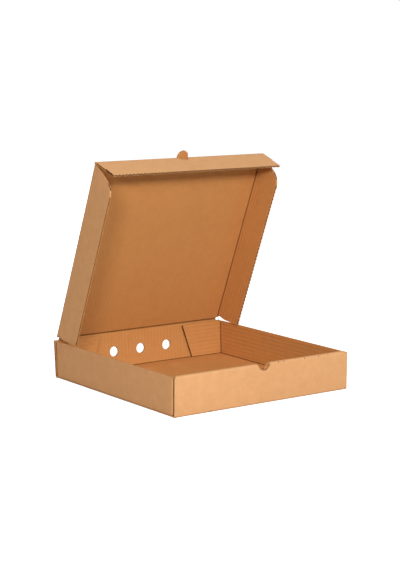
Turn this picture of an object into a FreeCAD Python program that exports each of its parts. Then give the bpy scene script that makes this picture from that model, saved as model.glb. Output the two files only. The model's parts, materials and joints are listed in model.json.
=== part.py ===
import FreeCAD, Part
import math
import os
from FreeCAD import Vector

# Folded corrugated takeaway box: a tray and its hinged lid, cut and folded from one sheet.
# Millimetres. X runs along the hinge, -Y is the front, Z is up, and the origin is the
# centre of the tray's underside. The lid is built shut and then turned to its open angle.

# Sheet
board = 3.0
fold_inner_radius = 0.4
slip_gap = 0.3

# Tray
tray_width = 320.0
tray_depth = 318.0
front_wall_height = 58.9
side_wall_height = 57.5
back_wall_lean = 5.0

# Corner flaps folded in from the side walls
front_corner_flap_length = 60.0
rear_corner_flap_foot = 59.5
rear_corner_flap_top = 77.5
rear_corner_flap_lean = 3.0

# Finger notch in the rolled front wall
notch_radius = 12.2
notch_depth = 10.0

# Locking tabs under the rolled-over front panel
lock_tab_length = 20.0
lock_tab_offset = 97.0

# Round vents in the back wall
vent_diameter = 16.0
vent_spacing = 50.7
vent_height = 28.7
vent_row_offset = -1.3
vent_count = 3

# Lid
lid_open_angle = 68.0
hinge_gap = 0.5
crease_relief_width = 5.4
crease_relief_reach = 6.0
side_flap_height = 55.0
side_flap_rear_setback = 7.5
side_flap_rear_upright = 17.0
side_flap_rear_angle = 16.0
side_flap_front_angle = 15.0
side_flap_corner_radius = 22.0
front_flap_height = 51.0
front_flap_angle = 87.0
front_flap_taper = 1.2
lid_front_clearance = 0.5

# Half-round lock tab in the lid's front fold
tab_radius = 9.3
tab_reach = 11.0
tab_cut_gap = 0.3

# Worked out from the sizes above
fold_outer_radius = fold_inner_radius + board
half_width = tray_width / 2
half_depth = tray_depth / 2
roll_depth = 3 * board + 2 * slip_gap
lean = math.radians(back_wall_lean)
hinge_height = front_wall_height + slip_gap + board / 2
hinge_y = half_depth + hinge_height * math.tan(lean) - board / 2 / math.cos(lean)
lid_top = hinge_height + board / 2
lid_half_width = half_width - board - slip_gap
roll_back_y = -half_depth + roll_depth
flap_lean = math.radians(front_flap_angle)


def lidLength():
    """Hinge to front fold, so that the front flap swings past the rolled front wall."""
    swing = hinge_y - roll_back_y - lid_front_clearance
    drop = front_flap_height * math.sin(flap_lean) - board / 2
    return math.sqrt(swing ** 2 - drop ** 2) - front_flap_height * math.cos(flap_lean)


lid_length = lidLength()
lid_front_y = hinge_y - lid_length
tab_root_y = lid_front_y + 2 * board


def roundedWire(points, place):
    """Closed wire through (u, v, radius) points, each corner rounded by its radius."""
    count = len(points)
    stops = []
    for i in range(count):
        corner = Vector(points[i][0], points[i][1], 0)
        before = Vector(points[i - 1][0], points[i - 1][1], 0)
        after = Vector(points[(i + 1) % count][0], points[(i + 1) % count][1], 0)
        radius = points[i][2]
        if radius == 0:
            stops.append([corner])
            continue
        toBefore = (before - corner).normalize()
        toAfter = (after - corner).normalize()
        half = toBefore.getAngle(toAfter) / 2
        reach = radius / math.tan(half)
        middle = (toBefore + toAfter).normalize()
        bulge = radius / math.sin(half) - radius
        stops.append([corner + toBefore * reach, corner + middle * bulge, corner + toAfter * reach])
    edges = []
    for i in range(count):
        here = [place(p.x, p.y) for p in stops[i]]
        following = [place(p.x, p.y) for p in stops[(i + 1) % count]]
        if len(here) == 3:
            edges.append(Part.Arc(here[0], here[1], here[2]).toShape())
        edges.append(Part.LineSegment(here[-1], following[0]).toShape())
    return Part.Wire(edges)


def prismX(points, x0, x1):
    """Solid with a (y, z, radius) section, from x0 to x1."""
    wire = roundedWire(points, lambda u, v: Vector(x0, u, v))
    return Part.Face(wire).extrude(Vector(x1 - x0, 0, 0))


def prismY(points, y0, y1):
    """Solid with an (x, z, radius) section, from y0 to y1."""
    wire = roundedWire(points, lambda u, v: Vector(u, y0, v))
    return Part.Face(wire).extrude(Vector(0, y1 - y0, 0))


def block(x0, x1, y0, y1, z0, z1):
    return Part.makeBox(x1 - x0, y1 - y0, z1 - z0, Vector(x0, y0, z0))


def bothSides(makeOne):
    return [makeOne(-1), makeOne(1)]


def mirrored(shape, side):
    if side > 0:
        return shape
    return shape.mirror(Vector(0, 0, 0), Vector(1, 0, 0))


# Rear edge of the side walls and rear corner flaps, where they stand inside the back wall.
rear_foot_y = half_depth - board / math.cos(lean) - slip_gap


def tiltBack(shape):
    """Leans a shape built upright behind the line y = rear_foot_y, z = 0."""
    shape.rotate(Vector(0, rear_foot_y, 0), Vector(1, 0, 0), -rear_corner_flap_lean)
    return shape


def traySpine():
    """Base, back wall and rolled front wall: one strip of board, as wide as the tray."""
    out = Vector(0, math.cos(lean), -math.sin(lean))
    axis = Vector(0, hinge_y, hinge_height)
    outerTop = axis + out * (board / 2)
    innerTop = axis - out * (board / 2)
    innerFootY = half_depth + board * math.tan(lean) - board / math.cos(lean)
    panelFoot = board + slip_gap
    section = [
        (outerTop.y, outerTop.z, 0),
        (half_depth, 0, fold_outer_radius),
        (-half_depth, 0, fold_outer_radius),
        (-half_depth, front_wall_height, fold_outer_radius),
        (roll_back_y, front_wall_height, fold_outer_radius),
        (roll_back_y, panelFoot, 0),
        (roll_back_y - board, panelFoot, 0),
        (roll_back_y - board, front_wall_height - board, fold_inner_radius),
        (-half_depth + board, front_wall_height - board, fold_inner_radius),
        (-half_depth + board, board, fold_inner_radius),
        (innerFootY, board, fold_inner_radius),
        (innerTop.y, innerTop.z, 0),
    ]
    strip = prismX(section, -half_width, half_width)
    bead = Part.makeCylinder(board / 2, tray_width, axis - Vector(half_width, 0, 0), Vector(1, 0, 0))
    strip = strip.fuse(bead)
    # The side walls and the folds under them take the place of the base's two edges.
    edgeWidth = fold_outer_radius + slip_gap
    innerY = -half_depth + board
    cuts = []
    for side in (-1, 1):
        baseEdge = block(half_width - edgeWidth, half_width + 1, innerY, rear_foot_y, -1, board + 0.01)
        panelEnd = block(
            lid_half_width, half_width + 1,
            innerY, roll_back_y + 1,
            -1, front_wall_height + 1,
        )
        cuts.append(mirrored(baseEdge.fuse(panelEnd), side))
    return strip.cut(cuts)


def sideWalls():
    """Base edges and both side walls."""
    outer = half_width
    inner = half_width - board
    section = [
        (-outer, side_wall_height, 0),
        (-outer, 0, fold_outer_radius),
        (outer, 0, fold_outer_radius),
        (outer, side_wall_height, 0),
        (inner, side_wall_height, 0),
        (inner, board, fold_inner_radius),
        (-inner, board, fold_inner_radius),
        (-inner, side_wall_height, 0),
    ]
    frontY = -half_depth + board + slip_gap
    walls = prismY(section, frontY, half_depth + board)
    behind = block(
        -half_width - 1, half_width + 1,
        rear_foot_y, rear_foot_y + tray_depth,
        -board, 2 * side_wall_height,
    )
    # The strip of base that joins the walls to the front fold.
    toe = block(-half_width + fold_outer_radius, half_width - fold_outer_radius, frontY - 1, frontY, 0, board)
    return walls.cut(tiltBack(behind)).fuse(toe)


def foldCorner(side, y, inward):
    """What the rounded outside of an upright fold takes off a square corner at y."""
    radius = fold_outer_radius
    centreX = half_width - radius
    centreY = y + inward * radius
    low = -board
    high = 2 * side_wall_height
    corner = block(centreX, half_width + 1, min(y - inward, centreY), max(y - inward, centreY), low, high)
    bend = Part.makeCylinder(radius, high - low, Vector(centreX, centreY, low))
    return mirrored(corner.cut(bend), side)


def frontFoldCorner(side):
    return foldCorner(side, -half_depth + board + slip_gap, 1)


def rearFoldCorner(side):
    return tiltBack(foldCorner(side, rear_foot_y, -1))


def rearCornerFlap(side):
    """Flap from the side wall's rear end, lying inside the back wall, longer at its top."""
    z0 = board + slip_gap
    z1 = side_wall_height
    outline = [
        (half_width - board / 2, z0, 0),
        (half_width - board / 2, z1, 0),
        (half_width - board - rear_corner_flap_top, z1, 0),
        (half_width - board - rear_corner_flap_foot, z0, 0),
    ]
    flap = prismY(outline, rear_foot_y - board, rear_foot_y)
    return mirrored(tiltBack(flap), side)


def frontCornerFlap(side):
    """Flap from the side wall's front end, held inside the rolled front wall."""
    y0 = -half_depth + board + slip_gap
    flap = block(
        half_width - board - front_corner_flap_length, half_width - board / 2,
        y0, y0 + board,
        board + slip_gap, front_wall_height - board - slip_gap,
    )
    return mirrored(flap, side)


def ventHoles():
    """Row of round holes through the back wall."""
    holes = []
    for i in range(vent_count):
        x = vent_row_offset + (i - (vent_count - 1) / 2) * vent_spacing
        start = Vector(x, half_depth - 4 * board, vent_height)
        hole = Part.makeCylinder(vent_diameter / 2, 8 * board, start, Vector(0, 1, 0))
        hole.rotate(Vector(x, half_depth, vent_height), Vector(1, 0, 0), -back_wall_lean)
        holes.append(hole)
    return holes


def fingerNotch():
    centre = Vector(0, -half_depth - 1, front_wall_height - notch_depth + notch_radius)
    return Part.makeCylinder(notch_radius, roll_depth + 2, centre, Vector(0, 1, 0))


def lockSlot(side):
    """Slot in the base for a locking tab of the rolled-over front panel."""
    x = side * lock_tab_offset
    half = lock_tab_length / 2 + slip_gap
    return block(
        x - half, x + half,
        roll_back_y - board - slip_gap, roll_back_y + slip_gap,
        -1, board + 1,
    )


def lockTab(side):
    x = side * lock_tab_offset
    half = lock_tab_length / 2
    return block(
        x - half, x + half,
        roll_back_y - board, roll_back_y,
        slip_gap, 2 * board,
    )


def creaseRelief(side):
    """Round-ended slot that frees the lid's side flap from the tray at the end of the crease."""
    radius = crease_relief_width / 2
    centreX = lid_half_width - crease_relief_reach + radius
    y0 = hinge_y - 4 * board
    length = 8 * board
    end = Part.makeCylinder(radius, length, Vector(centreX, y0, hinge_height), Vector(0, 1, 0))
    run = block(centreX, half_width + 1, y0, y0 + length, hinge_height - radius, hinge_height + radius)
    return mirrored(end.fuse(run), side)


def makeTray():
    flaps = bothSides(rearCornerFlap) + bothSides(frontCornerFlap)
    sides = sideWalls().fuse(flaps)
    sides = sides.cut(bothSides(frontFoldCorner) + bothSides(rearFoldCorner))
    tray = traySpine().fuse(sides)
    tray = tray.cut(ventHoles() + [fingerNotch()] + bothSides(lockSlot) + bothSides(creaseRelief))
    tray = tray.fuse(bothSides(lockTab))
    return tray.removeSplitter()


def lidSpine():
    """Lid panel and front flap: one strip of board with a fold along the front."""
    rearY = hinge_y - board / 2 - hinge_gap
    along = Vector(0, -math.cos(flap_lean), -math.sin(flap_lean))
    across = Vector(0, math.sin(flap_lean), -math.cos(flap_lean))
    corner = Vector(0, lid_front_y, lid_top)
    outerEnd = corner + along * front_flap_height
    innerEnd = outerEnd + across * board
    innerReach = board * (1 - math.cos(flap_lean)) / math.sin(flap_lean)
    innerCorner = corner + across * board + along * innerReach
    section = [
        (rearY, lid_top, 0),
        (corner.y, corner.z, fold_outer_radius),
        (outerEnd.y, outerEnd.z, 0),
        (innerEnd.y, innerEnd.z, 0),
        (innerCorner.y, innerCorner.z, fold_inner_radius),
        (rearY, lid_top - board, 0),
    ]
    strip = prismX(section, -lid_half_width, lid_half_width)
    cuts = []
    for side in (-1, 1):
        panelEdge = block(
            lid_half_width - fold_outer_radius - slip_gap, lid_half_width + 1,
            lid_front_y + board + slip_gap, hinge_y,
            lid_top - board - 0.01, lid_top + 1,
        )
        cuts.append(mirrored(panelEdge, side))
        cuts.append(frontFlapTaper(side))
    return strip.cut(cuts)


def frontFlapTaper(side):
    """Wedge taken off the end of the front flap, so that it narrows towards its free edge."""
    z0 = lid_top - front_flap_height - board
    outline = [
        (lid_half_width, lid_top - board, 0),
        (lid_half_width + 2, lid_top - board, 0),
        (lid_half_width + 2, z0, 0),
        (lid_half_width - front_flap_taper, z0, 0),
    ]
    wedge = prismY(outline, lid_front_y - front_flap_height, lid_front_y + 2 * board)
    return mirrored(wedge, side)


def lidSides():
    """Lid panel's edges and both side flaps, trimmed to the side flaps' outline."""
    outer = lid_half_width
    inner = lid_half_width - board
    freeEdge = lid_top - side_flap_height
    section = [
        (-outer, freeEdge, 0),
        (-outer, lid_top, fold_outer_radius),
        (outer, lid_top, fold_outer_radius),
        (outer, freeEdge, 0),
        (inner, freeEdge, 0),
        (inner, lid_top - board, fold_inner_radius),
        (-inner, lid_top - board, fold_inner_radius),
        (-inner, freeEdge, 0),
    ]
    rearY = hinge_y - board / 2 - hinge_gap
    frontY = lid_front_y + board + slip_gap
    whole = prismY(section, frontY, rearY)
    flapDrop = side_flap_height - board
    rootZ = lid_top - board
    rearRoot = hinge_y - side_flap_rear_setback
    rearBend = rearRoot - side_flap_rear_upright * math.tan(math.radians(rear_corner_flap_lean))
    bendZ = rootZ - side_flap_rear_upright
    rearSlant = (bendZ - freeEdge) * math.tan(math.radians(side_flap_rear_angle))
    frontSlant = flapDrop * math.tan(math.radians(side_flap_front_angle))
    outline = [
        (rearY + 1, lid_top + 1, 0),
        (rearY + 1, rootZ, 0),
        (rearRoot, rootZ, 0),
        (rearBend, bendZ, 0),
        (rearBend - rearSlant, freeEdge, 0),
        (frontY + frontSlant, freeEdge, side_flap_corner_radius),
        (frontY, rootZ, 0),
        (frontY, lid_top + 1, 0),
    ]
    trim = prismX(outline, -half_width, half_width)
    return whole.common(trim)


def lidLockTab():
    """The lock tab, a half-round that goes on from the lid panel, and its root in the panel."""
    square = tab_reach - tab_radius
    centreY = lid_front_y - square
    disc = Part.makeCylinder(tab_radius, board, Vector(0, centreY, lid_top - board))
    front = block(-tab_radius, tab_radius, centreY - tab_radius, centreY, lid_top - board, lid_top)
    stem = block(-tab_radius, tab_radius, centreY, tab_root_y, lid_top - board, lid_top)
    cutWidth = tab_radius + tab_cut_gap
    root = block(-cutWidth, cutWidth, lid_front_y + fold_outer_radius, tab_root_y, lid_top - board, lid_top)
    return disc.common(front).fuse([stem, root])


def tabOpening():
    """The hole that the lock tab leaves in the front flap, cut square to the flap."""
    radius = tab_radius + tab_cut_gap
    square = tab_reach - tab_radius
    along = Vector(0, -math.cos(flap_lean), -math.sin(flap_lean))
    across = Vector(0, math.sin(flap_lean), -math.cos(flap_lean))
    corner = Vector(0, lid_front_y, lid_top)
    start = corner + along * square - across * board
    hole = Part.makeCylinder(radius, 3 * board, start, across)
    root = block(-radius, radius, lid_front_y - board, tab_root_y, lid_top - board - square, lid_top + 1)
    return hole.fuse(root)


def makeLid():
    crease = Vector(0, hinge_y, hinge_height)
    lid = lidSpine().fuse(lidSides())
    lid.rotate(crease, Vector(1, 0, 0), -lid_open_angle)
    lid = lid.cut(bothSides(creaseRelief))
    lid.rotate(crease, Vector(1, 0, 0), lid_open_angle)
    lid = lid.cut(tabOpening())
    lid = lid.fuse(lidLockTab())
    lid = lid.removeSplitter()
    lid.rotate(crease, Vector(1, 0, 0), -lid_open_angle)
    return lid


os.makedirs("parts", exist_ok=True)
nodes = {"tray": makeTray(), "lid": makeLid()}
for name, shape in nodes.items():
    solid = shape.Solids[0]
    print(name, "solids", len(shape.Solids), "valid", shape.isValid(), "volume", round(shape.Volume, 1))
    solid.exportStep("parts/" + name + ".step")
print("hinge axis y", round(hinge_y, 4), "z", round(hinge_height, 4), "lid length", round(lid_length, 3))
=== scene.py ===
import bpy
import json
import math
from mathutils import Matrix, Vector


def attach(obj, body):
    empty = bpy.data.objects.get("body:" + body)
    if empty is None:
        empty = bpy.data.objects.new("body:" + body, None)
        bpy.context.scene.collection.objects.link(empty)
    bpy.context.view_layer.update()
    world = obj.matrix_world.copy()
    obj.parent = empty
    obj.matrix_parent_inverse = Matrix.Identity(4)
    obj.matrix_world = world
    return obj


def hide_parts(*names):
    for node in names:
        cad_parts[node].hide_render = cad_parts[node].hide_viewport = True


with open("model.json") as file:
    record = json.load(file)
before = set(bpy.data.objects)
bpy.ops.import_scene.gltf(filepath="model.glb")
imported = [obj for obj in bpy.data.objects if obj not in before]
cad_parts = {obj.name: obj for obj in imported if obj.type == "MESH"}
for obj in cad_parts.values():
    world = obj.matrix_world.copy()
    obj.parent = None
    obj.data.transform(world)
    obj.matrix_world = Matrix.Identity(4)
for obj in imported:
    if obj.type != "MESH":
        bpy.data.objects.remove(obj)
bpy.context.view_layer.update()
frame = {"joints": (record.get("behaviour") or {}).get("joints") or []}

# The hinge comes from the frame, everything else is drawn round it
hinge = frame["joints"][0]
hingeY, hingeZ = hinge["pos_m"][1:]

# The corrugated board itself, in metres
sheet = {
    "thickness": 0.003,
    "foldRadius": 0.0019,      # middle of the board, round a fold
    "foldSteps": 5,
    "flutePitch": 0.00635,
    "liner": 0.0004,
    "fluteDepth": 0.006,       # how far the open flutes are hollow behind a cut edge
    "creaseBand": 0.001,       # pressed strip on each side of a fold
    "grooveDepth": 0.0012,
    "shave": 0.00001,          # keeps the mesh just inside the solid
    "weld": 0.00001,
    "fineWeld": 0.000001,
}
half = sheet["thickness"] / 2
bend = sheet["foldRadius"]
band = sheet["creaseBand"]


# Picking and shaping by hand
def leaveEdit():
    bpy.ops.object.mode_set(mode="OBJECT")


def deselectAll():
    if bpy.context.object and bpy.context.object.mode != "OBJECT":
        leaveEdit()
    bpy.ops.object.select_all(action="DESELECT")


def workOn(piece):
    deselectAll()
    piece.select_set(True)
    bpy.context.view_layer.objects.active = piece


def pickAll():
    bpy.ops.mesh.select_all(action="SELECT")


# Takes a piece into edit mode with all of it picked.
def editAll(piece):
    workOn(piece)
    bpy.ops.object.mode_set(mode="EDIT")
    pickAll()


# Works a piece's place, turn and scale into its mesh.
def applyPlace():
    bpy.ops.object.transform_apply(location=True, rotation=True, scale=True)


def clearPicks(piece):
    if piece.mode != "OBJECT":
        leaveEdit()
    for group in (piece.data.vertices, piece.data.edges, piece.data.polygons):
        group.foreach_set("select", [False] * len(group))


def backToEdit(kind):
    bpy.ops.object.mode_set(mode="EDIT")
    bpy.ops.mesh.select_mode(type=kind)


def pickPoints(piece, wanted):
    clearPicks(piece)
    for point in piece.data.vertices:
        point.select = wanted(point.co)
    backToEdit("VERT")


def pickEdges(piece, wanted):
    clearPicks(piece)
    points = piece.data.vertices
    for edge in piece.data.edges:
        if all(wanted(points[i].co) for i in edge.vertices):
            edge.select = True
            for i in edge.vertices:
                points[i].select = True
    backToEdit("EDGE")


def pickFaces(piece, wanted):
    clearPicks(piece)
    count = 0
    for face in piece.data.polygons:
        if wanted(face.center, face.normal):
            face.select = True
            count += 1
    backToEdit("FACE")
    return count


def near(value, target, reach=0.00006):
    return abs(value - target) < reach


# Turns the picked edge round a crease, as a rounded fold.
def fold(degrees, centre, axis):
    bpy.ops.mesh.spin(steps=sheet["foldSteps"], angle=math.radians(-degrees), center=centre, axis=axis)


# Draws the picked edge out into a flat panel.
def grow(move):
    bpy.ops.mesh.extrude_region_move(TRANSFORM_OT_translate={"value": move})


# A line across the picked faces, with nothing dropped.
def score(place, normal):
    bpy.ops.mesh.bisect(plane_co=place, plane_no=normal)


# A line across the whole sheet.
def scoreAll(place, normal):
    pickAll()
    score(place, normal)


# Cuts some faces along a plane and drops those beyond it.
def snip(piece, wanted, place, normal):
    pickFaces(piece, wanted)
    score(place, normal)
    pickFaces(piece, lambda c, n: wanted(c, n) and (c - Vector(place)).dot(Vector(normal)) > 0)
    bpy.ops.mesh.delete(type="FACE")


def newPlane(name, x0, x1, y0, y1, z):
    deselectAll()
    middle = ((x0 + x1) / 2, (y0 + y1) / 2, z)
    bpy.ops.mesh.primitive_plane_add(size=1, location=middle, scale=(1, 1, 1))
    piece = bpy.context.object
    piece.name = name
    piece.data.name = name
    piece.scale = (x1 - x0, y1 - y0, 1)
    applyPlace()
    addFinishes(piece)
    return piece


def applyAll(piece):
    workOn(piece)
    for modifier in list(piece.modifiers):
        bpy.ops.object.modifier_apply(modifier=modifier.name)


def cutWith(piece, cutter, mode="DIFFERENCE"):
    cutting = piece.modifiers.new("cut", "BOOLEAN")
    cutting.operation = mode
    cutting.solver = "EXACT"
    cutting.object = cutter
    applyAll(piece)
    bpy.data.objects.remove(cutter, do_unlink=True)


def join(pieces, name):
    deselectAll()
    for piece in pieces:
        piece.select_set(True)
    bpy.context.view_layer.objects.active = pieces[0]
    if len(pieces) > 1:
        bpy.ops.object.join()
    pieces[0].name = name
    return pieces[0]


def cutAll(piece, cutters):
    cutWith(piece, join(cutters, "cutter"))


# Repeats a piece along X in equal steps, with its first one at start.
def repeatAlong(piece, count, step, start):
    repeat = piece.modifiers.new("repeat", "ARRAY")
    repeat.count = count
    repeat.use_relative_offset = False
    repeat.use_constant_offset = True
    repeat.constant_offset_displace = (step, 0, 0)
    applyAll(piece)
    piece.location = (start, 0, 0)
    applyPlace()


# Welds the sheet's panels into one skin.
def closeSheet():
    pickAll()
    bpy.ops.mesh.remove_doubles(threshold=sheet["weld"])
    bpy.ops.mesh.normals_make_consistent(inside=False)
    leaveEdit()


# Paints shade along the folds and the pressed strips beside them: a slightly darker finish on the outside,
# which the board's thickness turns into a dark one on the inside.
def paintCreaseShade(piece, creases):
    for face in piece.data.polygons:
        face.material_index = finishNumber["outside"]
        for place, along in creases:
            away = (face.center - Vector(place)).cross(Vector(along)).length
            if away < bend + 0.6 * band:
                face.material_index = finishNumber["creaseOut"]


# Gives the folded middle surface the board's thickness, with its cut edges in their own finish.
def makeThick(piece):
    thick = piece.modifiers.new("board", "SOLIDIFY")
    thick.thickness = sheet["thickness"] - sheet["shave"]
    thick.offset = 0
    thick.use_even_offset = True
    thick.use_rim = True
    thick.material_offset = 1
    thick.material_offset_rim = 2
    applyAll(piece)


# Open flutes behind a cut edge
# The hollow between two bends of the fluting: along +Y, its wide side up, centred on x = 0.
def oneFlute(length):
    pitch = sheet["flutePitch"]
    top = half - sheet["liner"]
    leftSide = [(-0.34 * pitch, top), (-0.26 * pitch, 0.42 * top),
                (-0.16 * pitch, -0.30 * top), (-0.07 * pitch, -0.66 * top)]
    outline = leftSide + [(-x, z) for x, z in reversed(leftSide)]
    deselectAll()
    bpy.ops.mesh.primitive_circle_add(vertices=len(outline), radius=0.001, fill_type="NGON",
                                      rotation=(math.radians(90), 0, 0))
    flute = bpy.context.object
    applyPlace()
    # The circle's points go round in order, so they are set on the hollow's outline one by one
    for point, (x, z) in zip(flute.data.vertices, outline):
        point.co = (x, -length / 2, z)
    editAll(flute)
    grow((0, length, 0))
    pickAll()
    bpy.ops.mesh.normals_make_consistent(inside=False)
    leaveEdit()
    return flute


# A row of hollows along X, turn about up and down, as a cutter.
def fluteRow(count, length):
    pitch = sheet["flutePitch"]
    up = oneFlute(length)
    workOn(up)
    bpy.ops.object.duplicate()
    down = bpy.context.object
    down.rotation_euler = (0, math.pi, 0)
    down.location = (pitch / 2, 0, 0)
    applyPlace()
    row = join([up, down], "row")
    repeatAlong(row, count, pitch, -(count - 0.5) * pitch / 2)
    return row


def placeCutter(cutter, matrix):
    cutter.matrix_world = matrix
    workOn(cutter)
    applyPlace()
    editAll(cutter)
    bpy.ops.mesh.normals_make_consistent(inside=False)
    leaveEdit()
    return cutter


# Ends a cutter at a plane, so that a row of hollows follows a slanted or rounded edge.
def trimCutter(cutter, place, normal):
    editAll(cutter)
    bpy.ops.mesh.bisect(plane_co=place, plane_no=normal, clear_outer=True, use_fill=True)
    leaveEdit()


# A matrix whose X, Y and Z run along three directions, from a place.
def axes(along, across, up, place):
    turn = Matrix((along, across, up)).transposed().to_4x4()
    return Matrix.Translation(place) @ turn


# Finishes
kraft = {
    "outside": {"light": (0.67, 0.358, 0.162), "dark": (0.53, 0.272, 0.117), "stripe": 0.03, "bump": 0.35},
    "inside": {"light": (0.575, 0.264, 0.086), "dark": (0.465, 0.200, 0.061), "stripe": 0.42, "bump": 0.45},
    "cut": {"light": (0.580, 0.300, 0.125), "dark": (0.420, 0.205, 0.080), "stripe": 0.0, "bump": 0.6},
    # Near-black painted shade for the insides of open flutes, cracks and the dent, for groove floors and for
    # the rear flaps' slanted ends
    "hollow": {"light": (0.070, 0.029, 0.010), "dark": (0.040, 0.016, 0.005), "stripe": 0.0, "bump": 0.3},
    # Painted shade along the folds: slight on the outside, dark on the inside; the dark one also lines some
    # grooves
    "creaseOut": {"light": (0.560, 0.290, 0.125), "dark": (0.460, 0.220, 0.090), "stripe": 0.0, "bump": 0.35},
    "creaseIn": {"light": (0.250, 0.105, 0.032), "dark": (0.190, 0.074, 0.020), "stripe": 0.0, "bump": 0.45},
    "torn": {"light": (0.860, 0.760, 0.600), "dark": (0.700, 0.560, 0.380), "stripe": 0.0, "bump": 0.4},
    "roughness": 0.82,
    "sheen": 0.03,
}


# The node tree of a material or of the world, with short calls to add and join nodes.
class Nodes:
    def __init__(self, owner):
        owner.use_nodes = True
        self.tree = owner.node_tree
        self.tree.nodes.clear()

    def add(self, kind, inputs=None, **settings):
        node = self.tree.nodes.new(kind)
        for key, value in settings.items():
            setattr(node, key, value)
        for key, value in (inputs or {}).items():
            if hasattr(value, "is_output"):
                self.tree.links.new(value, node.inputs[key])
            else:
                node.inputs[key].default_value = value
        return node

    def noise(self, place, scale, detail, roughness=0.5):
        inputs = {"Vector": place, "Scale": scale, "Detail": detail, "Roughness": roughness}
        return self.add("ShaderNodeTexNoise", inputs).outputs["Fac"]

    def math(self, operation, a, b=0.0, c=0.0):
        return self.add("ShaderNodeMath", {0: a, 1: b, 2: c}, operation=operation).outputs[0]

    def spread(self, value, low, high, toLow, toHigh):
        return self.add("ShaderNodeMapRange", {"Value": value, "From Min": low, "From Max": high,
                                               "To Min": toLow, "To Max": toHigh}).outputs[0]

    def mix(self, factor, a, b):
        node = self.add("ShaderNodeMix", {"Factor": factor}, data_type="RGBA")
        for socket, value in ((node.inputs[6], a), (node.inputs[7], b)):
            if hasattr(value, "is_output"):
                self.tree.links.new(value, socket)
            else:
                socket.default_value = (*value, 1)
        return node.outputs[2]

    # 1 for rays from the camera, straight or by way of a mirror or glass, and 0 for the rest.
    def seen(self):
        rays = self.add("ShaderNodeLightPath").outputs
        direct = self.math("MAXIMUM", rays["Is Camera Ray"], rays["Is Glossy Ray"])
        return self.math("MAXIMUM", direct, rays["Is Transmission Ray"])


# Kraft paper: soft clouds, short fibres, dark and pale flecks, and the flutes showing through.
def makeKraft(name, s):
    material = bpy.data.materials.new(name)
    n = Nodes(material)
    place = n.add("ShaderNodeTexCoord").outputs["Object"]
    clouds = n.noise(place, 80.0, 4.0, 0.6)
    pulp = n.noise(place, 420.0, 3.0, 0.65)
    drawnOut = {"Vector": place, "Rotation": (0.6, 0.5, 0.8), "Scale": (2600, 700, 700)}
    fibres = n.noise(n.add("ShaderNodeMapping", drawnOut).outputs[0], 1.0, 2.0, 0.7)
    shade = n.math("ADD", n.spread(clouds, 0.25, 0.75, 0.0, 0.42), n.spread(pulp, 0.2, 0.8, 0.0, 0.34))
    shade = n.math("ADD", shade, n.spread(fibres, 0.2, 0.8, 0.0, 0.24))
    colour = n.mix(shade, s["dark"], s["light"])
    flecks = n.spread(n.noise(place, 1500.0, 1.0, 0.5), 0.70, 0.78, 0.0, 0.35)
    colour = n.mix(flecks, colour, tuple(c * 0.45 for c in s["dark"]))
    pale = n.spread(n.noise(place, 1100.0, 1.0, 0.5), 0.72, 0.82, 0.0, 0.25)
    colour = n.mix(pale, colour, tuple(min(1, c * 1.3) for c in s["light"]))
    height = n.spread(fibres, 0.2, 0.8, 0.0, 0.35)
    if s["stripe"]:
        fluteMap = n.add("ShaderNodeUVMap", uv_map="flutes").outputs[0]
        flutes = n.add("ShaderNodeSeparateXYZ", {0: fluteMap}).outputs
        drift = n.spread(n.noise(place, 9.0, 2.0), 0.0, 1.0, -0.7, 0.7)
        turns = n.math("MULTIPLY_ADD", flutes[0], 2 * math.pi / sheet["flutePitch"], drift)
        fade = n.spread(n.noise(place, 26.0, 3.0), 0.35, 0.65, 0.25, 1.0)
        ripple = n.math("MULTIPLY", n.math("MULTIPLY", n.math("SINE", turns), fade), flutes[1])
        dim = n.math("MULTIPLY", n.math("POWER", n.spread(ripple, -1.0, 1.0, 0.0, 1.0), 2.0), s["stripe"])
        colour = n.mix(dim, colour, tuple(c * 0.6 for c in s["dark"]))
        height = n.math("ADD", height, n.spread(ripple, -1.0, 1.0, 0.0, 1.0))
    bump = n.add("ShaderNodeBump", {"Height": height, "Strength": s["bump"], "Distance": 0.00008}).outputs[0]
    look = {"Base Color": colour, "Normal": bump,
            "Roughness": kraft["roughness"], "Specular IOR Level": kraft["sheen"]}
    paper = n.add("ShaderNodeBsdfPrincipled", look)
    n.add("ShaderNodeOutputMaterial", {"Surface": paper.outputs[0]})
    return material


kraftOutside = makeKraft("kraftOutside", kraft["outside"])
kraftInside = makeKraft("kraftInside", kraft["inside"])
cutEdge = makeKraft("cutEdge", kraft["cut"])
fluteHollow = makeKraft("fluteHollow", kraft["hollow"])
creaseOutside = makeKraft("creaseOutside", kraft["creaseOut"])
creaseInside = makeKraft("creaseInside", kraft["creaseIn"])
tornPaper = makeKraft("tornPaper", kraft["torn"])
# The board's thickness adds 1 to a face's number on the inside and 2 on a cut edge
finishes = [kraftOutside, kraftInside, cutEdge, fluteHollow, creaseOutside, creaseInside, cutEdge, tornPaper]
finishNumber = {"outside": 0, "inside": 1, "cut": 2, "hollow": 3, "creaseOut": 4, "creaseIn": 5, "torn": 7}


def addFinishes(piece):
    piece.data.materials.clear()
    for finish in finishes:
        piece.data.materials.append(finish)


def dress(piece, finish):
    addFinishes(piece)
    for face in piece.data.polygons:
        face.material_index = finishNumber[finish]


def dressPicked(finish):
    bpy.context.object.active_material_index = finishNumber[finish]
    bpy.ops.object.material_slot_assign()


# Turns the sheet over if the face that meets the test points the wrong way.
def faceOut(piece, wanted, outward):
    face = next(f for f in piece.data.polygons if wanted(f.center))
    if face.normal.dot(Vector(outward)) < 0:
        editAll(piece)
        bpy.ops.mesh.flip_normals()
        leaveEdit()


# The half-open flute along a cut edge that runs with the flutes.
def openGroove(piece, wanted, lips, floor):
    faces = piece.data.polygons
    flags = [f.material_index == finishNumber["cut"] and wanted(f.center, f.normal) for f in faces]
    clearPicks(piece)
    faces.foreach_set("select", flags)
    backToEdit("FACE")
    dressPicked(lips)
    bpy.ops.mesh.inset(thickness=sheet["liner"], depth=-sheet["grooveDepth"])
    dressPicked(floor)
    leaveEdit()
    return sum(flags)


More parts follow.
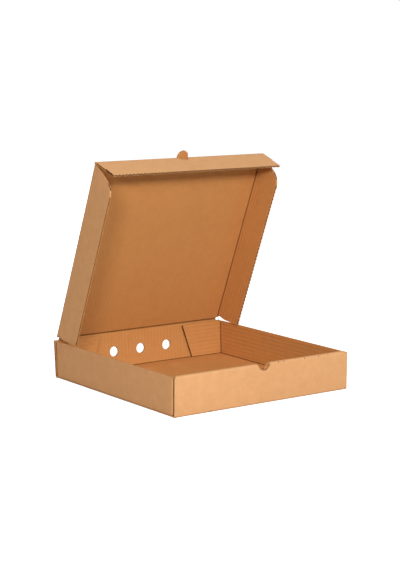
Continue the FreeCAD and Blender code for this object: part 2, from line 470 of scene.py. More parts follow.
# Tray
trayBox = {
    "halfWidth": 0.160,
    "halfDepth": 0.159,
    "frontHeight": 0.0589,
    "sideHeight": 0.0575,
    "backLean": 5.0,
    "cornerCut": 0.0004,       # snipped out between two folds that meet at a corner
    "wallEndGap": 0.0003,      # between the front panel and the side walls' folded ends
    "wallEndReach": 0.0034,    # end of a side wall over its front flap, up to the front panel
    "rollDepth": 0.0096,
    "rollEnd": 0.0034,         # lower edge of the roll's inner panel
    "panelEar": 0.0020,        # the front panel's ends rise this far beside the roll
    "flapCut": 0.0042,         # where the corner flaps are cut free of the base
    "frontFlapTop": 0.0555,
    "frontFlapEnd": 0.097,
    "rearFlapFoot": 0.0975,    # free end of the rear corner flap, low and high
    "rearFlapTop": 0.0795,
    "rearFlapLow": 0.0033,
    "rearFlapSpare": 0.004,    # drawn longer than it ends up, then cut slanted
    "rearLean": 3.0,
    "tabPlace": 0.097,
    "tabHalfWidth": 0.010,
    "tabDrop": 0.0030,
    "slotHalfWidth": 0.0103,
    "slotGap": 0.0003,
    "ventRadius": 0.0080,
    "ventSpacing": 0.0507,
    "ventHeight": 0.0287,
    "ventOffset": -0.0013,
    "notchRadius": 0.0122,
    "notchDepth": 0.010,
    "notchY": -0.1545,         # middle of the roll
    "throughWall": 0.012,      # lengths of the cutters
    "throughRoll": 0.014,
    "reliefHeight": 0.0054,
    "reliefReach": 0.006,
    "reliefEnd": 0.165,
    "reliefThrough": 0.010,
    "creaseRound": 0.00142,
}


def foldTray():
    s = trayBox
    lean = math.radians(s["backLean"])
    rearLean = math.radians(s["rearLean"])
    wallX = s["halfWidth"] - half              # middle of a side wall
    frontY = -s["halfDepth"] + half            # middle of the front panel
    baseX = wallX - bend
    baseFront = frontY + bend
    backLow = s["halfDepth"] - half / math.cos(lean) + half * math.tan(lean)
    baseBack = backLow - bend * math.tan(math.radians(90 - s["backLean"]) / 2)
    low = half + bend
    tray = newPlane("cardTray", -baseX, baseX, baseFront, baseBack, half)

    # Lines in the base where the side walls' folded ends and the lock tabs begin
    frontStart = -s["halfDepth"] + sheet["thickness"] + s["wallEndGap"] + half + bend
    rearFoot = s["halfDepth"] - sheet["thickness"] / math.cos(lean) - s["wallEndGap"]
    rearStart = rearFoot - (half + bend) / math.cos(rearLean)
    slotBack = -s["halfDepth"] + s["rollDepth"] + s["slotGap"]
    slotFront = slotBack - sheet["thickness"] - 2 * s["slotGap"]
    workOn(tray)
    bpy.ops.object.mode_set(mode="EDIT")
    sideFront, sideBack = baseFront + s["cornerCut"], baseBack - s["cornerCut"]
    rearLow = rearStart + low * math.tan(rearLean)
    for y in (sideFront, frontStart, slotFront, slotBack, rearLow - band, rearLow, baseBack - band, sideBack):
        scoreAll((0, y, 0), (0, 1, 0))
    for side in (-1, 1):
        scoreAll((side * (baseX - band), 0, 0), (1, 0, 0))
        for reach in (-s["slotHalfWidth"], -s["tabHalfWidth"], s["tabHalfWidth"], s["slotHalfWidth"]):
            scoreAll((side * s["tabPlace"] + reach, 0, 0), (1, 0, 0))
    pickFaces(tray, lambda c, n: slotFront < c.y < slotBack
              and abs(abs(c.x) - s["tabPlace"]) < s["slotHalfWidth"])
    bpy.ops.mesh.delete(type="FACE")

    # Front wall: up, over the top and down inside to the base, with its two lock tabs
    topZ = s["frontHeight"] - half
    rollBackY = -s["halfDepth"] + s["rollDepth"] - half
    pickEdges(tray, lambda c: near(c.y, baseFront) and near(c.z, half))
    fold(-90, (0, baseFront, low), (1, 0, 0))
    grow((0, 0, topZ - bend - low))
    fold(-90, (0, baseFront, topZ - bend), (1, 0, 0))
    grow((0, rollBackY - bend - baseFront, 0))
    fold(-90, (0, rollBackY - bend, topZ - bend), (1, 0, 0))
    grow((0, 0, s["rollEnd"] - (topZ - bend)))
    for side in (-1, 1):
        pickEdges(tray, lambda c: near(c.z, s["rollEnd"]) and near(c.y, rollBackY)
                  and abs(c.x - side * s["tabPlace"]) < s["tabHalfWidth"] + 0.0001)
        grow((0, 0, -s["tabDrop"]))

    # The outer front panel is as wide as the box, the roll inside it is not
    for side in (-1, 1):
        pickEdges(tray, lambda c: near(c.x, side * baseX) and c.y < baseFront + 0.00005
                  and c.z < topZ - bend + 0.0001)
        grow((side * s["cornerCut"], 0, 0))
        grow((side * (s["halfWidth"] - baseX - s["cornerCut"]), 0, 0))
        pickEdges(tray, lambda c: near(c.z, topZ - bend) and near(c.y, frontY)
                  and c.x * side > baseX + s["cornerCut"] - 0.0001)
        grow((0, 0, s["panelEar"]))

    # Back wall, leaning out, up to the lid's crease
    pickEdges(tray, lambda c: near(c.y, baseBack) and near(c.z, half) and abs(c.x) < baseX + 0.0001)
    fold(90 - s["backLean"], (0, baseBack, low), (1, 0, 0))
    rise = (hingeZ - (low - bend * math.sin(lean))) / math.cos(lean)
    upWall = Vector((0, math.sin(lean), math.cos(lean)))
    for run in (band, rise - 2 * band, band):
        grow(upWall * run)
    for side in (-1, 1):
        pickEdges(tray, lambda c: near(c.x, side * baseX) and c.y > baseBack - 0.00005)
        grow((side * (s["halfWidth"] - baseX), 0, 0))

    # Side walls with their front and rear corner flaps
    for side in (-1, 1):
        pickEdges(tray, lambda c: near(c.x, side * baseX) and near(c.z, half)
                  and sideFront - 0.0001 < c.y < sideBack + 0.0001)
        fold(-90 * side, (side * baseX, 0, low), (0, 1, 0))
        pickEdges(tray, lambda c: near(c.x, side * wallX) and near(c.z, low)
                  and frontStart - 0.0001 < c.y < rearStart + 0.001)
        grow((0, 0, s["flapCut"] - low))
        levels = [s["flapCut"], s["frontFlapTop"], s["frontFlapTop"] + s["cornerCut"], s["sideHeight"]]
        for start, end in zip(levels, levels[1:]):
            grow((0, 0, end - start))
        for z in levels:
            pickPoints(tray, lambda c: near(c.x, side * wallX) and near(c.z, z) and c.y > 0.1)
            bpy.ops.transform.translate(value=(0, (z - low) * math.tan(rearLean), 0))
        # Rear flap, folded in along a line that leans with the back wall
        pickEdges(tray, lambda c: near(c.x, side * wallX) and c.z > s["flapCut"] - 0.0001
                  and near(c.y, rearStart + c.z * math.tan(rearLean)))
        axis = (0, math.sin(rearLean), math.cos(rearLean))
        fold(90 * side, (side * baseX, rearStart + s["flapCut"] * math.tan(rearLean), s["flapCut"]), axis)
        grow((-side * band, 0, 0))
        grow((side * (s["rearFlapTop"] - s["rearFlapSpare"] - baseX + band), 0, 0))
        slope = Vector((s["rearFlapTop"] - s["rearFlapFoot"], 0, s["sideHeight"] - s["rearFlapLow"]))
        outward = Vector((-slope.z * side, 0, slope.x)).normalized()
        flapY = rearFoot - half / math.cos(rearLean)
        snip(tray, lambda c, n: near(c.y, flapY + c.z * math.tan(rearLean)) and 0.07 < c.x * side < baseX,
             (side * s["rearFlapFoot"], 0, s["rearFlapLow"]), outward)
        # Front flap, held inside the rolled front wall
        pickEdges(tray, lambda c: near(c.x, side * wallX) and near(c.y, frontStart)
                  and s["flapCut"] - 0.0001 < c.z < s["frontFlapTop"] + 0.0001)
        fold(-90 * side, (side * baseX, frontStart, 0), (0, 0, 1))
        grow((side * (s["frontFlapEnd"] - baseX), 0, 0))
        pickEdges(tray, lambda c: near(c.x, side * wallX) and near(c.y, frontStart)
                  and c.z > levels[2] - 0.0001)
        grow((0, -s["wallEndReach"], 0))
    closeSheet()
    creases = [((0, baseBack, low), (1, 0, 0)), ((0, hingeY, hingeZ), (1, 0, 0))]
    for side in (-1, 1):
        creases.append(((side * baseX, 0, low), (0, 1, 0)))
        creases.append(((side * baseX, rearStart, 0), (0, math.sin(rearLean), math.cos(rearLean))))
    paintCreaseShade(tray, creases)
    return tray


tray = foldTray()
print("tray folded:", len(tray.data.polygons), "faces")


# Lid, drawn shut and then opened
lidBox = {
    "halfWidth": 0.1567,
    "frontY": hingeY - 0.3050908,
    "openAngle": 68.0,
    "creaseGap": 0.00165,      # from the crease to the lid panel's end
    "sideHeight": 0.055,
    "sideRearSetback": 0.0075,
    "sideRearUpright": 0.017,  # upper part of the rear edge, which leans as the rear corner flap does
    "sideRearAngle": 16.0,
    "sideFrontAngle": 15.0,
    "sideCorner": 0.0169,
    "sideEndSetback": 0.0033,
    "cornerRadius": 0.022,     # round of a side flap's front end, and where its centre lies
    "cornerDrop": 0.052,
    "cornerReach": 0.0117,
    "cornerTurn": 52.0,
    "frontHeight": 0.051,
    "frontAngle": 87.0,
    "frontTaper": 0.0012,
    "tabRadius": 0.0093,
    "tabReach": 0.011,
    "tabCut": 0.0003,
    "creaseRound": 0.0007,
}


# The two runs of a side flap's rear edge: a place on each and the way out of the flap.
def rearEdges():
    s = lidBox
    root = hingeZ - half
    upper, lower = math.radians(trayBox["rearLean"]), math.radians(s["sideRearAngle"])
    rootY = hingeY - s["sideRearSetback"]
    bendY = rootY - s["sideRearUpright"] * math.tan(upper)
    return [
        (Vector((0, rootY, root)), Vector((0, math.cos(upper), -math.sin(upper)))),
        (Vector((0, bendY, root - s["sideRearUpright"])), Vector((0, math.cos(lower), -math.sin(lower)))),
    ]


def foldLid():
    s = lidBox
    angle = math.radians(s["frontAngle"])
    sideX = s["halfWidth"] - half
    panelX = sideX - bend
    rearY = hingeY - s["creaseGap"]
    cornerY = s["frontY"] + half * (1 - math.cos(angle)) / math.sin(angle)
    setback = bend * math.tan(angle / 2)
    panelFront = cornerY + setback
    lid = newPlane("cardLid", -panelX, panelX, panelFront, rearY, hingeZ)
    sideFront = panelFront + trayBox["cornerCut"]
    workOn(lid)
    bpy.ops.object.mode_set(mode="EDIT")
    for y in (sideFront, panelFront + band, rearY - band):
        scoreAll((0, y, 0), (0, 1, 0))
    for x in (band - panelX, panelX - band):
        scoreAll((x, 0, 0), (1, 0, 0))

    # Front flap
    down = Vector((0, -math.cos(angle), -math.sin(angle)))
    low = hingeZ - bend
    pickEdges(lid, lambda c: near(c.y, panelFront))
    fold(s["frontAngle"], (0, panelFront, low), (1, 0, 0))
    straight = s["frontHeight"] - half * (1 - math.cos(angle)) / math.sin(angle) - setback
    grow(down * band)
    grow(down * (straight - band))
    for side in (-1, 1):
        pickEdges(lid, lambda c: near(c.x, side * panelX) and c.y < panelFront + 0.00005)
        grow((side * (s["halfWidth"] - panelX), 0, 0))
        pickPoints(lid, lambda c: near(c.x, side * s["halfWidth"]) and c.z < 0.012)
        bpy.ops.transform.translate(value=(-side * s["frontTaper"], 0, 0))

    # Side flaps, cut to their slanted and rounded outline
    freeZ = hingeZ + half - s["sideHeight"]
    for side in (-1, 1):
        pickEdges(lid, lambda c: near(c.x, side * panelX) and near(c.z, hingeZ) and c.y > sideFront - 0.0001)
        fold(90 * side, (side * panelX, 0, low), (0, 1, 0))
        grow((0, 0, -band))
        grow((0, 0, freeZ - low + band))
        front = math.radians(s["sideFrontAngle"])
        ends = [((0, sideFront, low), (0, -math.cos(front), -math.sin(front))), *rearEdges()]
        for place, outward in ends:
            snip(lid, lambda c, n: near(c.x, side * sideX, 0.00002) and abs(n.x) > 0.99, place, outward)
        pickPoints(lid, lambda c: near(c.x, side * sideX) and near(c.z, freeZ) and c.y < 0)
        bpy.ops.mesh.bevel(affect="VERTICES", offset=s["sideCorner"], segments=10)
    closeSheet()
    creases = [((0, panelFront, low), (1, 0, 0)), ((0, hingeY, hingeZ), (1, 0, 0))]
    creases += [((side * panelX, 0, low), (0, 1, 0)) for side in (-1, 1)]
    paintCreaseShade(lid, creases)
    return lid


lid = foldLid()
print("lid folded:", len(lid.data.polygons), "faces")


# Tray: thickness, edges, openings
# A round cutter about a place, along a direction.
def rod(radius, length, place, direction, finish="cut", sides=64):
    deselectAll()
    turn = Vector(direction).to_track_quat("Z", "Y").to_euler()
    bpy.ops.mesh.primitive_cylinder_add(vertices=sides, radius=radius, depth=length,
                                        location=place, rotation=turn)
    cutter = bpy.context.object
    applyPlace()
    dress(cutter, finish)
    return cutter


# A square-cornered cutter between two corners.
def brick(low, high):
    deselectAll()
    middle = [(a + b) / 2 for a, b in zip(low, high)]
    bpy.ops.mesh.primitive_cube_add(size=1, location=middle)
    cutter = bpy.context.object
    cutter.scale = [b - a for a, b in zip(low, high)]
    applyPlace()
    dress(cutter, "cut")
    return cutter


# Draws the board's end on and rounds it, where it turns at the lid's crease.
def roundCrease(piece, wanted, grown, offset, segments):
    pickFaces(piece, wanted)
    if grown:
        grow(grown)
        leaveEdit()
        backToEdit("FACE")
    bpy.ops.mesh.region_to_loop()
    leaveEdit()
    points = piece.data.vertices
    for edge in piece.data.edges:
        if edge.select:
            a, b = (points[i].co for i in edge.vertices)
            edge.select = abs(a.x - b.x) > 0.5 * (a - b).length
    backToEdit("EDGE")
    bpy.ops.mesh.bevel(offset=offset, segments=segments, affect="EDGES")
    leaveEdit()


faceOut(tray, lambda c: near(c.z, half) and abs(c.x) < 0.05, (0, 0, -1))
makeThick(tray)
lean = math.radians(trayBox["backLean"])
upBack = Vector((0, math.sin(lean), math.cos(lean)))
backOut = Vector((0, math.cos(lean), -math.sin(lean)))
roundCrease(tray, lambda c, n: n.dot(upBack) > 0.99 and c.y > 0.155 and c.z > 0.0595,
            upBack * half, trayBox["creaseRound"], 4)
print("tray thick:", len(tray.data.polygons), "faces")

# The cut ends of the front panel and back wall get grooves whose lips and floor are painted dark as shade
sideEdges = openGroove(tray, lambda c, n: abs(n.x) > 0.9 and 0.0040 < c.z < 0.0620
                       and near(abs(c.x), trayBox["halfWidth"], 0.0002), "creaseIn", "hollow")
print("grooves along", sideEdges, "side faces")


def findVents():
    s = trayBox
    z = s["ventHeight"]
    y = s["halfDepth"] - half / math.cos(lean) + z * math.tan(lean)
    return [Vector((s["ventOffset"] + i * s["ventSpacing"], y, z)) for i in (-1, 0, 1)]


ventPlaces = findVents()
cutAll(tray, [rod(trayBox["ventRadius"], trayBox["throughWall"], place, backOut) for place in ventPlaces])
notchZ = trayBox["frontHeight"] - trayBox["notchDepth"] + trayBox["notchRadius"]
cutWith(tray, rod(trayBox["notchRadius"], trayBox["throughRoll"], (0, trayBox["notchY"], notchZ), (0, 1, 0)))


# Round-ended slots that free the lid's side flaps from the tray at the ends of the crease.
def creaseRelief():
    s = trayBox
    radius = s["reliefHeight"] / 2
    through = s["reliefThrough"]
    cutters = []
    for side in (-1, 1):
        inner = side * (lidBox["halfWidth"] - s["reliefReach"] + radius)
        outer = side * s["reliefEnd"]
        slot = brick((min(inner, outer), hingeY - through, hingeZ - radius),
                     (max(inner, outer), hingeY + through, hingeZ + radius))
        cutWith(slot, rod(radius, 2 * through, (inner, hingeY, hingeZ), (0, 1, 0)), "UNION")
        cutters.append(slot)
    return join(cutters, "cutter")


cutWith(tray, creaseRelief())
print("tray openings cut:", len(tray.data.polygons), "faces")


# A row of hollows laid at a place: along the flutes, across them and through the board, its faces by default
# in the near-black painted shade of the hollows.
def layRow(count, length, place, along, across, up, finish="hollow"):
    row = fluteRow(count, length)
    placeCutter(row, axes(Vector(across), Vector(along), Vector(up), Vector(place)))
    dress(row, finish)
    return row


depth = sheet["fluteDepth"]


# The rear corner flaps' slanted ends get the near-black hollow finish all over, painted shade of the gap
# beside them, and show open flutes.
def openRearFlaps():
    s = trayBox
    count = pickFaces(tray, lambda c, n: abs(n.x) > 0.7 and 0.075 < abs(c.x) < 0.1 and c.y > 0.14)
    dressPicked("hollow")
    leaveEdit()
    print("slanted flap ends:", count)
    rearLean = math.radians(s["rearLean"])
    rearFoot = s["halfDepth"] - sheet["thickness"] / math.cos(lean) - s["wallEndGap"]
    upFlap = Vector((0, math.sin(rearLean), math.cos(rearLean)))
    inFlap = Vector((0, -math.cos(rearLean), math.sin(rearLean)))
    rows = []
    for side in (-1, 1):
        z = (s["flapCut"] + s["sideHeight"]) / 2
        y = rearFoot + z * math.tan(rearLean) - half / math.cos(rearLean)
        middle = (side * (s["rearFlapFoot"] + s["rearFlapTop"]) / 2, y, z)
        row = layRow(8, 0.050, middle, (1, 0, 0), -upFlap, inFlap)
        slope = Vector((s["rearFlapTop"] - s["rearFlapFoot"], 0, s["sideHeight"] - s["rearFlapLow"]))
        inward = Vector((slope.z * side, 0, -slope.x)).normalized()
        trimCutter(row, Vector((side * s["rearFlapFoot"], 0, s["rearFlapLow"])) + inward * depth, inward)
        rows.append(row)
    cutAll(tray, rows)


# The vents' rims and the finger notch show open flutes too, painted dark as shade inside.
def openTrayHoles():
    s = trayBox
    length = 2 * s["ventRadius"] + depth
    rows = [layRow(2, length, place, upBack, (1, 0, 0), -backOut) for place in ventPlaces]
    low = s["frontHeight"] - s["notchDepth"] - depth
    for y in (-s["halfDepth"] + half, -s["halfDepth"] + s["rollDepth"] - half):
        rows.append(layRow(2, 0.012, (0, y, low + 0.006), (0, 0, 1), (1, 0, 0), (0, -1, 0)))
    cutAll(tray, rows)


openRearFlaps()
openTrayHoles()
print("tray flutes opened:", len(tray.data.polygons), "faces")

# Small marks of use: cracks across the roll's front edge and a dent at its foot, with the near-black painted
# shade of the hollows inside them
marks = {
    "crackPlaces": (0.0270, 0.0374, 0.0765, 0.1037, 0.1221),
    "crackY": -0.1581,
    "crackZ": 0.0580,
    "crackRadius": 0.0005,
    "crackLength": 0.004,
    "dentPlace": (-0.0967, -0.1590, 0.0017),
    "dentRadius": 0.0006,
    "dentLength": 0.0065,
    "sides": 12,
}


def markTray(s):
    cutters = []
    for x in s["crackPlaces"]:
        place = (x, s["crackY"], s["crackZ"])
        cutters.append(rod(s["crackRadius"], s["crackLength"], place, (0, 1, 1), "hollow", s["sides"]))
    cutters.append(rod(s["dentRadius"], s["dentLength"], s["dentPlace"], (1, 0, 0), "hollow", s["sides"]))
    cutAll(tray, cutters)


markTray(marks)


# Lid: thickness, edges, tab, openings
faceOut(lid, lambda c: near(c.z, hingeZ) and abs(c.x) < 0.05, (0, 0, 1))
makeThick(lid)
openTurn = (Matrix.Translation((0, hingeY, hingeZ))
            @ Matrix.Rotation(-math.radians(lidBox["openAngle"]), 4, "X")
            @ Matrix.Translation((0, -hingeY, -hingeZ)))
roundCrease(lid, lambda c, n: n.y > 0.9 and c.y > hingeY - 0.002 and abs(c.x) < 0.01,
            None, lidBox["creaseRound"], 1)
cutWith(lid, placeCutter(creaseRelief(), openTurn.inverted()))

# The front flap starts at this edge, hangs down and faces in
frontEdge = Vector((0, lidBox["frontY"], hingeZ + half))
frontAngle = math.radians(lidBox["frontAngle"])
flapDown = Vector((0, -math.cos(frontAngle), -math.sin(frontAngle)))
flapIn = Vector((0, math.sin(frontAngle), -math.cos(frontAngle)))
freeZ = hingeZ + half - lidBox["sideHeight"]
# Grooves along the side flaps' free edges and the front flap's ends, their floors painted dark as shade
openGroove(lid, lambda c, n: n.z < -0.9 and near(c.z, freeZ, 0.0002) and abs(c.x) > 0.150, "cut", "creaseIn")
openGroove(lid, lambda c, n: abs(n.x) > 0.9 and c.y < lidBox["frontY"] + 0.0015
           and c.z < hingeZ - 0.003 and abs(c.x) > 0.150, "cut", "creaseIn")

wave = {
    "pitch": sheet["flutePitch"],
    "halfWidth": 0.0024,
    "depth": 0.0020,
    "frontCount": 48,
    "frontShift": 0.0001,      # the notches' middle lies this far past the edge
    "sideShift": 0.0005,
    "rearStop": 0.020,         # a side flap's notches stop short of its ends
    "frontStop": 0.036,
}


# A row of small V notches, as a wavy rule cuts them: along an edge, into the board, through it.
def waveCut(count, place, along, into, through):
    deselectAll()
    bpy.ops.mesh.primitive_cylinder_add(vertices=4, radius=1, depth=2 * sheet["thickness"])
    notch = bpy.context.object
    notch.scale = (wave["halfWidth"], wave["depth"], 1)
    applyPlace()
    repeatAlong(notch, count, wave["pitch"], -(count - 1) * wave["pitch"] / 2)
    placeCutter(notch, axes(Vector(along), Vector(into), Vector(through), Vector(place)))
    dress(notch, "cut")
    return notch


def waveEdges():
    s = lidBox
    place = frontEdge + flapDown * (s["frontHeight"] + wave["frontShift"]) + flapIn * half
    place.x = -wave["pitch"] / 4
    notches = [waveCut(wave["frontCount"], place, (1, 0, 0), -flapDown, flapIn)]
    run = (hingeY - wave["rearStop"]) - (s["frontY"] + wave["frontStop"])
    middleY = (hingeY - wave["rearStop"] + s["frontY"] + wave["frontStop"]) / 2
    for side in (-1, 1):
        place = (side * (s["halfWidth"] - half), middleY, freeZ - wave["sideShift"])
        notches.append(waveCut(int(run / wave["pitch"]), place, (0, 1, 0), (0, 0, 1), (side, 0, 0)))
    cutAll(lid, notches)


waveEdges()
print("lid edges waved:", len(lid.data.polygons), "faces")


# The half-round tab that goes straight on from the lid panel.
def lockTab():
    s = lidBox
    radius = s["tabRadius"]
    centreY = s["frontY"] - (s["tabReach"] - radius)
    tab = rod(radius, sheet["thickness"], (0, centreY, hingeZ), (0, 0, 1), "outside")
    trimCutter(tab, (0, centreY, 0), (0, 1, 0))
    pickFaces(tab, lambda c, n: n.y > 0.9)
    grow((0, s["frontY"] + 2 * sheet["thickness"] - centreY, 0))
    leaveEdit()
    for face in tab.data.polygons:
        side = "outside" if face.normal.z > 0.9 else "inside" if face.normal.z < -0.9 else "cut"
        face.material_index = finishNumber[side]
    return tab


# The hole that the tab leaves in the front flap.
def tabHole():
    s = lidBox
    square = s["tabReach"] - s["tabRadius"]
    radius = s["tabRadius"] + s["tabCut"]
    hole = rod(radius, 0.012, frontEdge + flapDown * square, flapIn)
    root = brick((-radius, s["frontY"] - 0.003, hingeZ - half - square),
                 (radius, s["frontY"] + 0.006, hingeZ + 0.004))
    cutWith(hole, root, "UNION")
    return hole


cutWith(lid, tabHole())
cutWith(lid, lockTab(), "UNION")
print("lid tab cut:", len(lid.data.polygons), "faces")


def openFrontFlap():
    s = lidBox
    middle = frontEdge + flapDown * (s["frontHeight"] - depth + 0.010) + flapIn * half
    cutWith(lid, layRow(48, 0.020, middle, flapDown, (1, 0, 0), -flapIn))
    tabEnd = s["frontY"] - s["tabReach"]
    row = layRow(3, 0.020, (0, tabEnd, hingeZ), (0, 1, 0), (1, 0, 0), (0, 0, 1), "cut")
    trimCutter(row, (0, tabEnd + 0.0045, 0), (0, 1, 0))
    cutWith(lid, row)


def openSideFlap(side):
    s = lidBox
    front = math.radians(s["sideFrontAngle"])
    turned = math.radians(s["cornerTurn"])
    x = side * (s["halfWidth"] - half)
    z = (hingeZ - half + freeZ) / 2
    endY = s["frontY"] + s["sideEndSetback"]
    outFront = Vector((0, -math.cos(front), -math.sin(front)))
    row = layRow(8, 0.080, (x, endY - 0.010, z), (0, 1, 0), (0, 0, 1), (side, 0, 0))
    trimCutter(row, Vector((x, endY, hingeZ - half)) - outFront * depth, -outFront)
    outCorner = Vector((0, -math.cos(turned), -math.sin(turned)))
    centreY = endY + math.tan(front) * s["cornerDrop"] + s["cornerReach"]
    centre = Vector((x, centreY, freeZ + s["cornerRadius"]))
    trimCutter(row, centre + outCorner * (s["cornerRadius"] - depth), -outCorner)
    rows = [row]
    # Three hollows end at the rear edge's upper run, five at its lower run
    for (place, outward), count, rise in zip(rearEdges(), (3, 5), (2.5, -1.5)):
        middle = (x, hingeY - 0.010, z + rise * sheet["flutePitch"])
        row = layRow(count, 0.060, middle, (0, 1, 0), (0, 0, 1), (side, 0, 0))
        trimCutter(row, place + Vector((x, 0, 0)) - outward * depth, -outward)
        rows.append(row)
    cutAll(lid, rows)


openFrontFlap()
for side in (-1, 1):
    openSideFlap(side)
print("lid flutes opened:", len(lid.data.polygons), "faces")


# Where the board's flutes run level: side walls, corner flaps and the lid's side flaps
levelFlutes = {
    "wallX": 0.1566,
    "wallFrontY": -0.1557,
    "backY": 0.15585,          # line between the rear corner flaps and the back wall
    "backSlope": 0.07,
    "rearFlapY": 0.1500,
    "rearFlapZ": 0.0035,
    "frontFlapY": (-0.1558, -0.1526),
    "frontFlapX": 0.0965,
    "lidX": 0.1533,
    "lidFront": 0.0032,
}


# Writes how far each corner lies across the flutes, and how strongly they show, as the piece's own map.
def layFlutes(piece, across):
    flutes = piece.data.uv_layers.new(name="flutes")
    points = piece.data.vertices
    for face in piece.data.polygons:
        for loop in face.loop_indices:
            flutes.data[loop].uv = across(points[piece.data.loops[loop].vertex_index].co, face)


def trayFlutes(c, face):
    s = levelFlutes
    middle, out = face.center, face.normal
    backLine = s["backY"] + s["backSlope"] * middle.z
    frontLow, frontHigh = s["frontFlapY"]
    upright = abs(out.y) > 0.7
    sideWall = abs(middle.x) > s["wallX"] and s["wallFrontY"] < middle.y < backLine
    rearFlap = upright and s["rearFlapY"] < middle.y < backLine and middle.z > s["rearFlapZ"]
    frontFlap = upright and frontLow < middle.y < frontHigh and abs(middle.x) > s["frontFlapX"]
    if sideWall or rearFlap or frontFlap:
        return (c.z, 1.0 if sideWall else 0.6)
    return (c.x, 0.1 if abs(out.z) > 0.7 else 0.5)


def lidFlutes(c, face):
    s = levelFlutes
    if abs(face.center.x) > s["lidX"] and face.center.y > lidBox["frontY"] + s["lidFront"]:
        return (c.z, 1.0)
    return (c.x, 0.3)


layFlutes(tray, trayFlutes)
layFlutes(lid, lidFlutes)


def weldAndSmooth(piece):
    editAll(piece)
    bpy.ops.mesh.remove_doubles(threshold=sheet["fineWeld"])
    bpy.ops.mesh.dissolve_degenerate(threshold=sheet["fineWeld"])
    leaveEdit()
    bpy.ops.object.shade_smooth_by_angle(angle=math.radians(32))


# Open the lid to the photograph's angle about the crease
workOn(lid)
lid.matrix_world = openTurn
applyPlace()

# Two torn nibs of paper on the left side flap's free edge
nibShapes = [
    {"place": (-0.1538, 0.0872, 0.1108), "size": (0.0010, 0.0012, 0.0015)},
    {"place": (-0.1538, 0.0904, 0.1033), "size": (0.0009, 0.0010, 0.0018)},
]


def makeNib(s):
    deselectAll()
    bpy.ops.mesh.primitive_ico_sphere_add(subdivisions=2, radius=1, location=s["place"])
    nib = bpy.context.object
    nib.scale = s["size"]
    applyPlace()
    dress(nib, "torn")
    return nib


join([lid, *[makeNib(s) for s in nibShapes]], "cardLid")
for piece in (tray, lid):
    weldAndSmooth(piece)
for piece, node in ((tray, "tray"), (lid, "lid")):
    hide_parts(node)
    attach(piece, node)
print("pieces ready:", len(tray.data.polygons), "and", len(lid.data.polygons), "faces")


# Floor, light and camera
studio = {
    "skyStrength": 0.03,
    "floorSize": 14.0,
    "floorColour": (0.6, 0.6, 0.6, 1),
    "floorShadow": (0.5, 0.5, 0.5, 1),
    "floorGlow": 0.88,         # near the box, rising to full white between these distances
    "glowStart": 0.4,
    "glowEnd": 1.3,
    "aim": (0, 0, 0.12),
    "key": {"energy": 41.0, "size": 0.35, "place": (-0.8, -2.2, 1.07), "colour": (1.0, 1.0, 1.0)},
    "side": {"energy": 37.0, "size": 0.6, "place": (-2.1, -1.85, 1.1), "colour": (1.04, 0.96, 0.92)},
    "back": {"energy": 42.0, "size": 1.0, "place": (0.5, 2.7, 1.5), "colour": (1.0, 1.0, 1.0)},
    "right": {"energy": 26.0, "size": 1.0, "place": (2.5, 0.7, 0.9), "colour": (1.0, 1.0, 1.0)},
    "top": {"energy": 28.0, "size": 1.0, "place": (0.1, -1.3, 2.4), "colour": (0.94, 1.02, 1.12)},
}


def makeFloor(s):
    deselectAll()
    bpy.ops.mesh.primitive_plane_add(size=s["floorSize"], location=(0, 0, -0.0002))
    floor = bpy.context.object
    floor.name = "studioFloor"
    applyPlace()
    material = bpy.data.materials.new("paleFloor")
    n = Nodes(material)
    matt = n.add("ShaderNodeBsdfDiffuse", {"Color": s["floorColour"]})
    shadowed = n.add("ShaderNodeBsdfDiffuse", {"Color": s["floorShadow"]})
    place = n.add("ShaderNodeTexCoord").outputs["Object"]
    away = n.add("ShaderNodeVectorMath", {0: place}, operation="LENGTH").outputs["Value"]
    strength = n.spread(away, s["glowStart"], s["glowEnd"], s["floorGlow"], 1.0)
    glow = n.add("ShaderNodeEmission", {"Color": (1, 1, 1, 1), "Strength": strength})
    bright = n.add("ShaderNodeAddShader", {0: shadowed.outputs[0], 1: glow.outputs[0]})
    both = n.add("ShaderNodeMixShader", {0: n.seen(), 1: matt.outputs[0], 2: bright.outputs[0]})
    n.add("ShaderNodeOutputMaterial", {"Surface": both.outputs[0]})
    floor.data.materials.append(material)


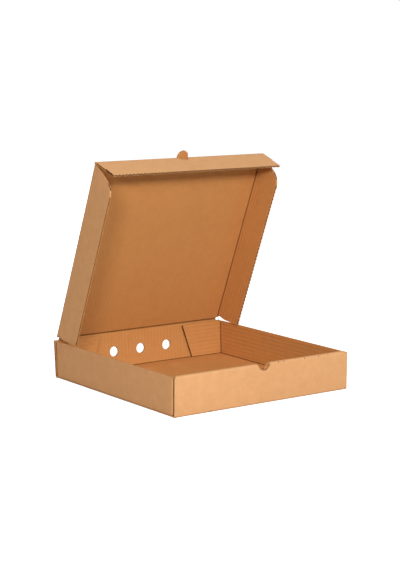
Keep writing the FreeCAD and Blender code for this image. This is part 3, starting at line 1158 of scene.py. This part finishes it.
# The sky looks white but gives only a little light.
def makeSky(strength):
    world = bpy.data.worlds.new("studioSky")
    bpy.context.scene.world = world
    n = Nodes(world)
    soft = n.add("ShaderNodeBackground", {"Color": (1, 1, 1, 1), "Strength": strength})
    white = n.add("ShaderNodeBackground", {"Color": (1, 1, 1, 1)})
    both = n.add("ShaderNodeMixShader", {0: n.seen(), 1: soft.outputs[0], 2: white.outputs[0]})
    n.add("ShaderNodeOutputWorld", {"Surface": both.outputs[0]})


def addLamp(name, s):
    deselectAll()
    bpy.ops.object.light_add(type="AREA", location=s["place"])
    lamp = bpy.context.object
    lamp.name = name
    lamp.data.energy = s["energy"]
    lamp.data.color = s["colour"]
    lamp.data.size = s["size"]
    aim = Vector(studio["aim"]) - Vector(s["place"])
    lamp.rotation_euler = aim.to_track_quat("-Z", "Y").to_euler()


makeFloor(studio)
makeSky(studio["skyStrength"])
for name in ("key", "side", "back", "right", "top"):
    addLamp(name, studio[name])

view = {
    "place": (-1.4241944, -1.9359021, 0.5461917),
    "azimuth": 36.9723,
    "elevation": 9.3180,
    "roll": 0.5283,
    "focalPixels": 1603.149,
    "centre": (217.54, 285.85),
    "frame": (400, 570),
    "sensor": 36,
}


def placeCamera(s):
    bpy.ops.object.camera_add(location=s["place"])
    camera = bpy.context.object
    azimuth, elevation, roll = (math.radians(s[k]) for k in ("azimuth", "elevation", "roll"))
    level = math.cos(elevation)
    back = Vector((-math.sin(azimuth) * level, -math.cos(azimuth) * level, math.sin(elevation)))
    right = Vector((0, 0, 1)).cross(back).normalized()
    up = back.cross(right)
    turnedRight = right * math.cos(roll) + up * math.sin(roll)
    turnedUp = up * math.cos(roll) - right * math.sin(roll)
    camera.matrix_world = axes(turnedRight, turnedUp, back, Vector(s["place"]))
    wide, high = s["frame"]
    camera.data.sensor_width = s["sensor"]
    camera.data.lens = s["sensor"] * s["focalPixels"] / high
    camera.data.shift_x = (wide / 2 - s["centre"][0]) / high
    camera.data.shift_y = (s["centre"][1] - high / 2) / high
    camera.data.clip_start = 0.05
    bpy.context.scene.camera = camera


placeCamera(view)
bpy.context.scene.view_settings.view_transform = "Standard"
deselectAll()
